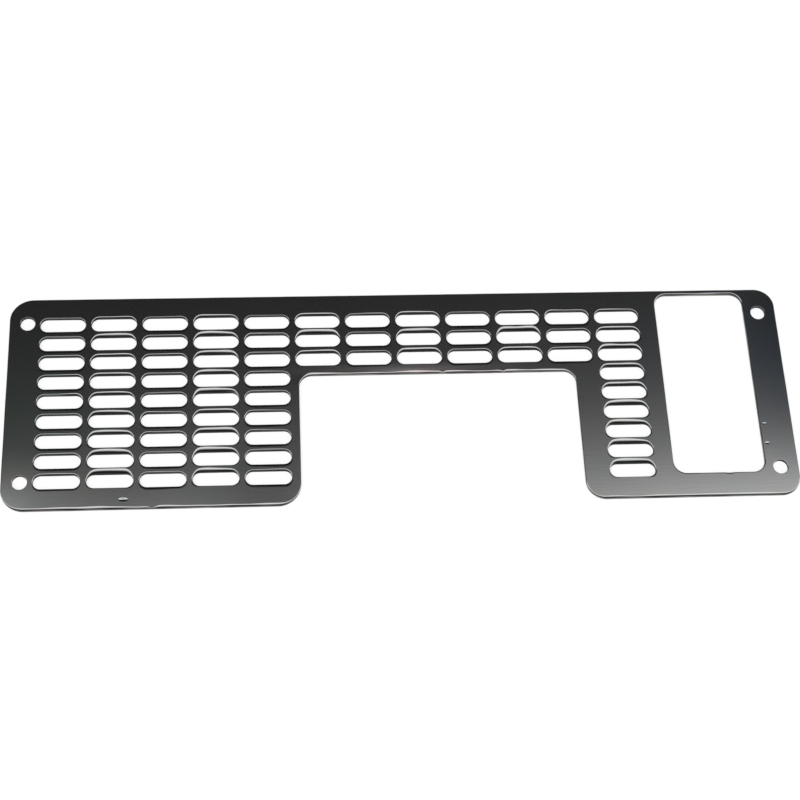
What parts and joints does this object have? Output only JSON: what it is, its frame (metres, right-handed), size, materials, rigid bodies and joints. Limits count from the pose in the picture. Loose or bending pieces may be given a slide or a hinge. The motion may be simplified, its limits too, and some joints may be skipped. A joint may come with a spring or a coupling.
{
  "type": "slotted vent cover panel",
  "caption": "Flat slotted vent cover panel in polished steel sheet, with a deep notch in its lower edge, a tall window beside it and a screw hole near each corner.",
  "frame": {"origin": "middle of the back face, which is the face that lies on the surface behind the panel", "axes": "+X along the panel towards the window, +Y up the panel away from the notch, +Z out of the front face"},
  "size_m": [0.3394, 0.1, 0.0015],
  "materials": {
    "polished_steel": "polished sheet with a fine grain along its length and rolled, buffed edges"
  },
  "bodies": {
    "root": {"slotted_panel": "polished_steel"}
  },
  "joints": []
}
